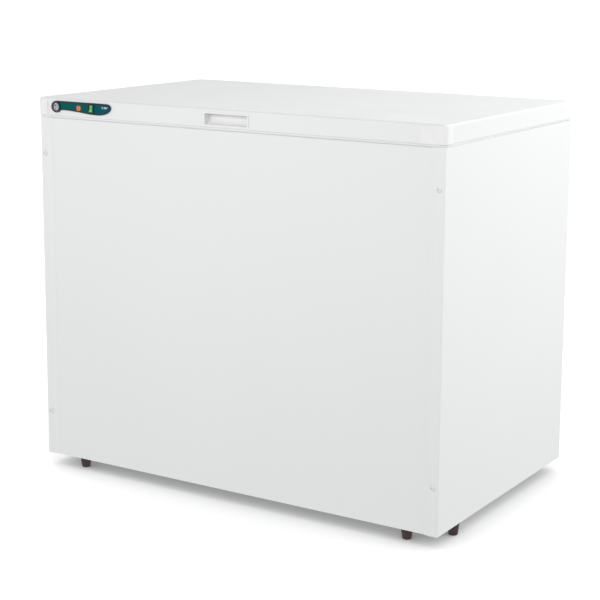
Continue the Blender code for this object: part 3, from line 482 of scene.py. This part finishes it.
def lid_seal():
    """The magnetic seal: a pinched bulb, a skirt at the lid's edge and a flat web between them."""
    low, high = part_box("lid_gasket")
    gap = 0.0002
    top, bottom = high.z, low.z + gap
    half = [(0.0066, top), (0.0052, top - 0.0009), (0.0047, top - 0.0020), (0.0055, top - 0.0031)]
    half += [(0.0064, bottom + 0.0010), (0.0062, bottom + 0.0003), (0.0055, bottom)]
    section = half + [(-away, z) for away, z in reversed(half)]
    inset, turn = 0.0070, 0.013
    first, last = (low.x + inset, low.y + inset), (high.x - inset, high.y - inset)
    bulb = swept_ring(round_rectangle(first, last, turn, 8), section)
    lid_low, lid_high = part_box("lid_shell")
    under = lid_low.z - gap
    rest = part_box("top_frame")[1].z + 0.0003
    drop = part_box("side_panel_left")[1].z - 0.0004
    skirt = seal_skirt(lid_low, lid_high, under, rest, drop)
    web = seal_web(lid_low, lid_high, under, rest)
    seal = make_piece("lid_seal", mesh_of("lid_seal", gather([bulb, skirt, web])), "lid", "grey_seal")
    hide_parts("lid_gasket")


def seal_skirt(low, high, under, rest, drop):
    """The edge of the seal, from the lid down to the side panels, and higher at the corners."""
    edge, turn, slack = 0.0008, 0.0112, 0.001
    lip = [(-0.0003, drop), (0, drop + 0.0005), (0, under - 0.0005), (-0.0005, under)]
    lip += [(-0.0105, under), (-0.0105, rest), (-0.0011, rest), (-0.0006, drop)]
    first, last = (low.x + edge, low.y + edge), (high.x - edge, high.y - edge)
    skirt = swept_ring(round_rectangle(first, last, turn, 8), lip)
    for vert in skirt.verts:
        at_side = abs(vert.co.x) > last[0] - turn + slack
        at_front = vert.co.y < first[1] + turn - slack
        if vert.co.y > last[1] - turn - slack:
            vert.co.z = max(vert.co.z, rest)
        elif at_side and at_front:
            vert.co.z = max(vert.co.z, drop + 0.0006)
    bmesh.ops.dissolve_degenerate(skirt, dist=1e-6, edges=skirt.edges)
    return skirt


def seal_web(low, high, under, rest):
    """A flat ring with square corners, from inside the skirt to the bulb."""
    edge, width, floor = 0.0093, 0.0165, rest + 0.0006
    left, right, front, back = low.x + edge, high.x - edge, low.y + edge, high.y - edge
    mitres = ((right, back, 1, 1), (left, back, -1, 1), (left, front, -1, -1), (right, front, 1, -1))
    walk = [(Vector((x, y, 0)), Vector((across, along, 0))) for x, y, across, along in mitres]
    return swept_ring(walk, [(0, under), (0, floor), (-width, floor), (-width, under)])


def lid_beads():
    """Stiffening beads pressed into the lid's inner panel."""
    low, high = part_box("inner_tank")
    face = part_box("lid_liner")[0].z
    bead, sunk = 0.0026, 0.0012
    paths = []
    for inset, radius in ((0.045, 0.030), (0.075, 0.018)):
        first, last = (low.x + inset, low.y + inset), (high.x - inset, high.y - inset)
        walk = round_rectangle(first, last, radius, 8)
        paths.append([point + Vector((0, 0, face + sunk)) for point, _ in walk])
    wires("liner_beads", paths, bead, "lid", SLOT_OF["lid_liner"], closed=True, sides=4)


def flange_sealant():
    """A painted bead that eases each front flange on to the front panel."""
    low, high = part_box("front_panel")
    step, overlap, sunk, short = 0.0011, 0.0006, 0.0002, 0.0003
    section = [(overlap, step), (0, step), (-0.0006, step * 0.85), (-0.0020, step * 0.35)]
    section += [(-0.0036, 0.0001), (overlap, -sunk)]
    for side, way in SIDES.items():
        panel_low, panel_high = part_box("side_panel_" + side)
        edge = panel_high.x if way < 0 else panel_low.x
        outline = [(edge + way * away, low.y - rise) for away, rise in section]
        shape = bmesh.new()
        rows = []
        for z in (low.z + short, high.z - short):
            rows.append([shape.verts.new((x, y, z)) for x, y in outline])
        for i in range(len(outline)):
            shape.faces.new((rows[0][i], rows[0][i - 1], rows[1][i - 1], rows[1][i]))
        for row in rows:
            shape.faces.new(row)
        make_piece("flange_sealant_" + side, mesh_of("sealant", shape, 60), "cabinet", "white_steel")


def flange_fillers():
    """Plastic blocks that close the top of each front flange, flat part and slope."""
    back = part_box("top_frame")[0].y - 0.0001
    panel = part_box("front_panel")[0].y
    height, gap = 0.016, 0.0002
    for side, way in SIDES.items():
        low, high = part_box("side_panel_" + side)
        edge = high.x if way > 0 else -low.x
        blocks = []
        for near, far, face in ((0.0205, 0.0017, low.y + 0.0013), (0.0296, 0.0203, panel + 0.0001)):
            left, right = sorted((way * (edge - near), way * (edge - far)))
            first = (left, face, high.z - height)
            blocks.append(box_shape(first, (right, back, high.z - gap), 0.0003))
        mesh = mesh_of("filler", gather(blocks))
        make_piece("flange_filler_" + side, mesh, "cabinet", "white_plastic")


# Basket


def wire_basket():
    """Coated wire: a rim with a hanger at each end, hoops, and U-shaped wires both ways."""
    low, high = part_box("basket")
    rim, hoop, upright = 0.0030, 0.0019, 0.0015
    hanger, hanger_inset, hanger_gap = 0.0135, 0.0200, 0.0001
    rim_turn, hanger_turn, hoop_turn, bend = 0.016, 0.009, 0.012, 0.014
    z_rim = high.z - rim
    front, back = low.y + hanger + rim, high.y - hanger - rim
    left, right = low.x + rim, high.x - rim
    slot = SLOT_OF["basket"]
    walk = round_rectangle((left, front), (right, back), rim_turn, 8)
    path = [point + Vector((0, 0, z_rim)) for point, _ in walk]
    pieces = [wires("basket_rim", [path], rim, "basket", slot, closed=True, sides=4)]
    paths = []
    first, last = left + hanger_inset, right - hanger_inset
    for end, y in ((-1, front), (1, back)):
        reach = y + end * (hanger - hanger_gap)
        corners = [(first, y, z_rim), (first, reach, z_rim), (last, reach, z_rim), (last, y, z_rim)]
        paths.append(bent(corners, hanger_turn))
    pieces.append(wires("basket_hangers", paths, rim, "basket", slot, sides=4))
    inset = rim + upright
    x = (left + inset, right - inset)
    y = (front + inset, back - inset)
    bottom = low.z + upright + 2 * hoop
    across, lengthwise = 18, 7
    paths = []
    for i in range(1, across):
        at = y[0] + (y[1] - y[0]) * (i / across)
        corners = [(x[0], at, z_rim), (x[0], at, bottom), (x[1], at, bottom), (x[1], at, z_rim)]
        paths.append(bent(corners, bend))
    sunk = bottom + 2 * upright
    for i in range(1, lengthwise):
        at = x[0] + (x[1] - x[0]) * (i / lengthwise)
        corners = [(at, y[0], z_rim), (at, y[0], sunk), (at, y[1], sunk), (at, y[1], z_rim)]
        paths.append(bent(corners, bend))
    pieces.append(wires("basket_wires", paths, upright, "basket", slot))
    paths = []
    out = upright + hoop
    for share in (0.28, 0.52, 0.76):
        z = bottom + (z_rim - bottom) * share
        walk = round_rectangle((x[0] - out, y[0] - out), (x[1] + out, y[1] + out), hoop_turn)
        paths.append([point + Vector((0, 0, z)) for point, _ in walk])
    pieces.append(wires("basket_hoops", paths, hoop, "basket", slot, closed=True))
    paths = []
    z, short = bottom - upright - hoop, 0.012
    for share in (0.25, 0.75):
        at = x[0] + (x[1] - x[0]) * share
        paths.append([Vector((at, y[0] + short, z)), Vector((at, y[1] - short, z))])
    pieces.append(wires("basket_runners", paths, hoop, "basket", slot))
    for piece in pieces:
        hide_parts("basket")


# Controls


def on_dial(centre, angle, radius):
    """A place on a dial's face that looks to the front, clockwise from the top."""
    angle = math.radians(angle)
    return centre + Vector((math.sin(angle) * radius, 0, math.cos(angle) * radius))


def dial_marks():
    """The thermometer's scale: a mark every 5 degrees and a number every 20, over a 270-degree arc."""
    low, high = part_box("thermometer_dial")
    centre = Vector(((low.x + high.x) / 2, low.y, (low.z + high.z) / 2))
    start, arc, marks_in_arc, numbers = -135, 270, 16, ("-40", "-20", "0", "20", "40")
    rim, number_at, number_size = 0.0098, 0.0053, 0.0027
    proud, sunk = 0.00004, 0.0001
    marks = []
    for i in range(marks_in_arc + 1):
        angle = start + arc * i / marks_in_arc
        half, length = (0.00026, 0.0026) if i % 4 == 0 else (0.00014, 0.0016)
        place = Matrix.Translation(centre) @ Matrix.Rotation(math.radians(angle), 4, "Y")
        marks.append(box_shape((-half, -proud, rim - length), (half, sunk, rim), place=place))
    make_piece("dial_scale", mesh_of("dial_scale", gather(marks)), "lid", "black_plastic")
    for i, text in enumerate(numbers):
        at = on_dial(centre, start + arc * i / (len(numbers) - 1), number_at)
        numeral(f"dial_number_{i}", text, at, number_size, UPRIGHT, "lid", "black_plastic")
    cap = [(0, 0), (0.0017, 0), (0.0017, 0.0004), (0.0014, 0.0007), (0.0006, 0.0009), (0, 0.0009)]
    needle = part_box("thermometer_needle")[0].y
    hub = turned(cap, (centre.x, needle, centre.z), FRONT, 24)
    make_piece("needle_hub", mesh_of("hub", hub), "needle", "zinc_steel")


def rocker_marks():
    """A bar and a ring moulded on the two halves of the rocker."""
    pivot = next(Vector(joint["pos_m"]) for joint in frame["joints"] if joint["name"] == "rocker_pivot")
    tilt, thickness = math.radians(-10), 0.00032
    at_pivot = Matrix.Translation(pivot) @ Matrix.Rotation(tilt, 4, "X")
    middle, reach, crest = Vector((0, -0.0030, 0)), 0.0080, -0.0044
    bar, ring_width, ring_height = 0.0016, 0.0013, 0.0017
    line = [Vector((0, -bar, 0)), Vector((0, bar, 0))]
    ring = []
    for step in range(21):
        angle = step * math.tau / 20
        ring.append(Vector((ring_width * math.cos(angle), ring_height * math.sin(angle), 0)))
    marks = []
    for way, path in ((1, line), (-1, ring)):
        end = Vector((0, crest, way * reach))
        along = (end - middle).normalized()
        out = Vector((0, -abs(along.z), -way * abs(along.y)))
        face = Matrix((Vector((1, 0, 0)), along, out)).transposed().to_4x4()
        place = at_pivot @ Matrix.Translation((middle + end) / 2) @ face
        marks.append([place @ point for point in path])
    wires("rocker_marks", marks, thickness, "rocker", "white_plastic")


def snowflake(centre, radius):
    """Six forked arms, as boxes on a plane that faces the front."""
    arm_half, fork_half, proud, sunk = 0.00016, 0.00013, 0.00005, 0.0001
    fork_at, fork_length, spread = radius * 0.55, radius * 0.36, 50
    shapes = []
    for arm in range(6):
        turn = Matrix.Translation(centre) @ Matrix.Rotation(math.radians(60 * arm), 4, "Y")
        last = (arm_half, sunk, radius)
        shapes.append(box_shape((-arm_half, -proud, 0), last, place=turn))
        for side in (-1, 1):
            lean = Matrix.Rotation(math.radians(spread * side), 4, "Y")
            fork = turn @ Matrix.Translation((0, 0, fork_at)) @ lean
            last = (fork_half, sunk, fork_length)
            shapes.append(box_shape((-fork_half, -proud, 0), last, place=fork))
    return shapes


def fascia_print():
    """A plain frost mark and three short rules, printed at the end of the film."""
    low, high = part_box("control_overlay")
    start = Vector((high.x - 0.0200, low.y, high.z - 0.0062))
    shapes = snowflake(start, 0.0029)
    left, half, pitch, proud, sunk = start.x + 0.0042, 0.00035, 0.0016, 0.00005, 0.0001
    for i, length in enumerate((0.0105, 0.0105, 0.0070)):
        z = start.z + pitch * (1 - i)
        first = (left, low.y - proud, z - half)
        shapes.append(box_shape(first, (left + length, low.y + sunk, z + half)))
    make_piece("fascia_mark", mesh_of("fascia_mark", gather(shapes)), "lid", "white_plastic")


def knob_scale():
    """Marks and numbers round the thermostat knob, which looks to the back."""
    low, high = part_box("thermostat_knob")
    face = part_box("compressor_grille")[1].y
    centre = Vector(((low.x + high.x) / 2, face, (low.z + high.z) / 2))
    turn = Matrix.Rotation(math.radians(180), 4, "Z") @ UPRIGHT
    half, inner, outer, sunk, proud = 0.0004, 0.0152, 0.0174, 0.0001, 0.00008
    number_at, number_size = 0.0205, 0.0042
    marks = []
    for i in range(7):
        angle = math.radians(-135 + 45 * i)
        place = Matrix.Translation(centre) @ Matrix.Rotation(-angle, 4, "Y")
        marks.append(box_shape((-half, -sunk, inner), (half, proud, outer), place=place))
        at = centre + Vector((-math.sin(angle), 0, math.cos(angle))) * number_at
        numeral(f"knob_number_{i}", str(i + 1), at, number_size, turn, "cabinet", "black_plastic")
    make_piece("knob_scale", mesh_of("knob_scale", gather(marks)), "cabinet", "black_plastic")


panel_screws()
small_screws()
feet()
lid_seal()
lid_beads()
flange_sealant()
flange_fillers()
wire_basket()
dial_marks()
rocker_marks()
fascia_print()
knob_scale()


# Stage


def look_towards(at, yaw, pitch, roll):
    """A camera's world matrix. Yaw turns from +Y towards +X; all in degrees."""
    yaw, pitch, roll = (math.radians(angle) for angle in (yaw, pitch, roll))
    level = math.cos(pitch)
    ahead = Vector((math.sin(yaw) * level, math.cos(yaw) * level, math.sin(pitch)))
    across = Vector((math.cos(yaw), -math.sin(yaw), 0))
    upward = across.cross(ahead)
    right = across * math.cos(roll) + upward * math.sin(roll)
    above = upward * math.cos(roll) - across * math.sin(roll)
    return Matrix.Translation(at) @ Matrix((right, above, -ahead)).transposed().to_4x4()


def make_camera():
    """The photograph's camera, as fitted to the corners of the cabinet."""
    camera = bpy.data.objects.new("camera", bpy.data.cameras.new("camera"))
    camera.data.lens = 95.17
    camera.data.shift_y = -0.0833
    at = (1.9227, -3.0957, 1.2139)
    camera.matrix_world = look_towards(at, yaw=-32.108, pitch=-10.711, roll=0.326)
    bpy.context.scene.collection.objects.link(camera)
    bpy.context.scene.camera = camera


def make_light(name, at, target, size, power, colour=(1, 1, 1)):
    """A soft box that lights the freezer but not the floor, and that reflections don't show."""
    light = bpy.data.lights.new(name, "AREA")
    light.shape = "RECTANGLE"
    light.size, light.size_y = size
    light.energy = power
    light.color = colour
    lamp = bpy.data.objects.new(name, light)
    lamp.location = at
    lamp.rotation_euler = (Vector(target) - Vector(at)).to_track_quat("-Z", "Y").to_euler()
    lamp.visible_glossy = False
    bpy.context.scene.collection.objects.link(lamp)
    link_light(lamp, "EXCLUDE")


def link_light(lamp, state):
    """Lets a lamp light only the floor, or everything but the floor."""
    group = bpy.data.collections.new("floor_for_" + lamp.name)
    group.objects.link(bpy.data.objects["floor"])
    group.collection_objects[0].light_linking.link_state = state
    lamp.light_linking.receiver_collection = group


def make_floor():
    """A pale floor that catches shadows but throws no light back, so the room's light stays even."""
    size = 400.0
    mesh = bpy.data.meshes.new("floor")
    corners = [(-size, -size, 0), (size, -size, 0), (size, size, 0), (-size, size, 0)]
    mesh.from_pydata(corners, [], [(0, 1, 2, 3)])
    floor = bpy.data.objects.new("floor", mesh)
    bpy.context.scene.collection.objects.link(floor)
    look = Look("pale_floor", (0.90, 0.90, 0.90), 0.85, Specular_IOR_Level=0.2)
    mesh.materials.append(look.mottle(0.8, 0.01).grain(60, 0.0002).material)
    floor.visible_diffuse = False
    floor.visible_glossy = False
    floor.visible_shadow = False


def light_floor(strength):
    """A wide overhead bank, for the floor alone."""
    sun = bpy.data.lights.new("floor_bank", "SUN")
    sun.energy = strength
    sun.angle = math.radians(150)
    lamp = bpy.data.objects.new("floor_bank", sun)
    bpy.context.scene.collection.objects.link(lamp)
    link_light(lamp, "INCLUDE")


def make_world(below, horizon, zenith):
    """Even studio light: one strength below the horizon, and one that runs from it up to the zenith."""
    world = bpy.data.worlds.new("studio")
    world.use_nodes = True
    tree = world.node_tree
    place = tree.nodes.new("ShaderNodeTexCoord")
    split = tree.nodes.new("ShaderNodeSeparateXYZ")
    sky = tree.nodes.new("ShaderNodeMapRange")
    sky.inputs["To Min"].default_value = horizon
    sky.inputs["To Max"].default_value = zenith
    is_sky = tree.nodes.new("ShaderNodeMapRange")
    is_sky.inputs["From Min"].default_value = -0.04
    is_sky.inputs["From Max"].default_value = 0
    strength = tree.nodes.new("ShaderNodeMix")
    strength.inputs["A"].default_value = below
    tree.links.new(place.outputs["Generated"], split.inputs["Vector"])
    tree.links.new(split.outputs["Z"], sky.inputs["Value"])
    tree.links.new(split.outputs["Z"], is_sky.inputs["Value"])
    tree.links.new(is_sky.outputs["Result"], strength.inputs["Factor"])
    tree.links.new(sky.outputs["Result"], strength.inputs["B"])
    tree.links.new(strength.outputs["Result"], tree.nodes["Background"].inputs["Strength"])
    tree.nodes["Background"].inputs["Color"].default_value = (1, 1, 1, 1)
    bpy.context.scene.world = world


make_camera()
make_world(below=0.66, horizon=1.18, zenith=0.1)
make_floor()
light_floor(strength=3.3)
cool_white = (0.97, 0.99, 1.0)
make_light("key", (2.6, -0.2, 2.3), (0.5, 0, 0.8), size=(1.6, 1.6), power=16.5, colour=cool_white)
make_light("front", (-0.2, -2.6, 1.7), (0, -0.33, 0.8), size=(2.2, 0.8), power=25)
make_light("rear", (2.0, 1.6, 2.6), (0.3, 0.1, 0.88), size=(1.6, 1.6), power=57.5)
bpy.context.scene.view_settings.view_transform = "Standard"
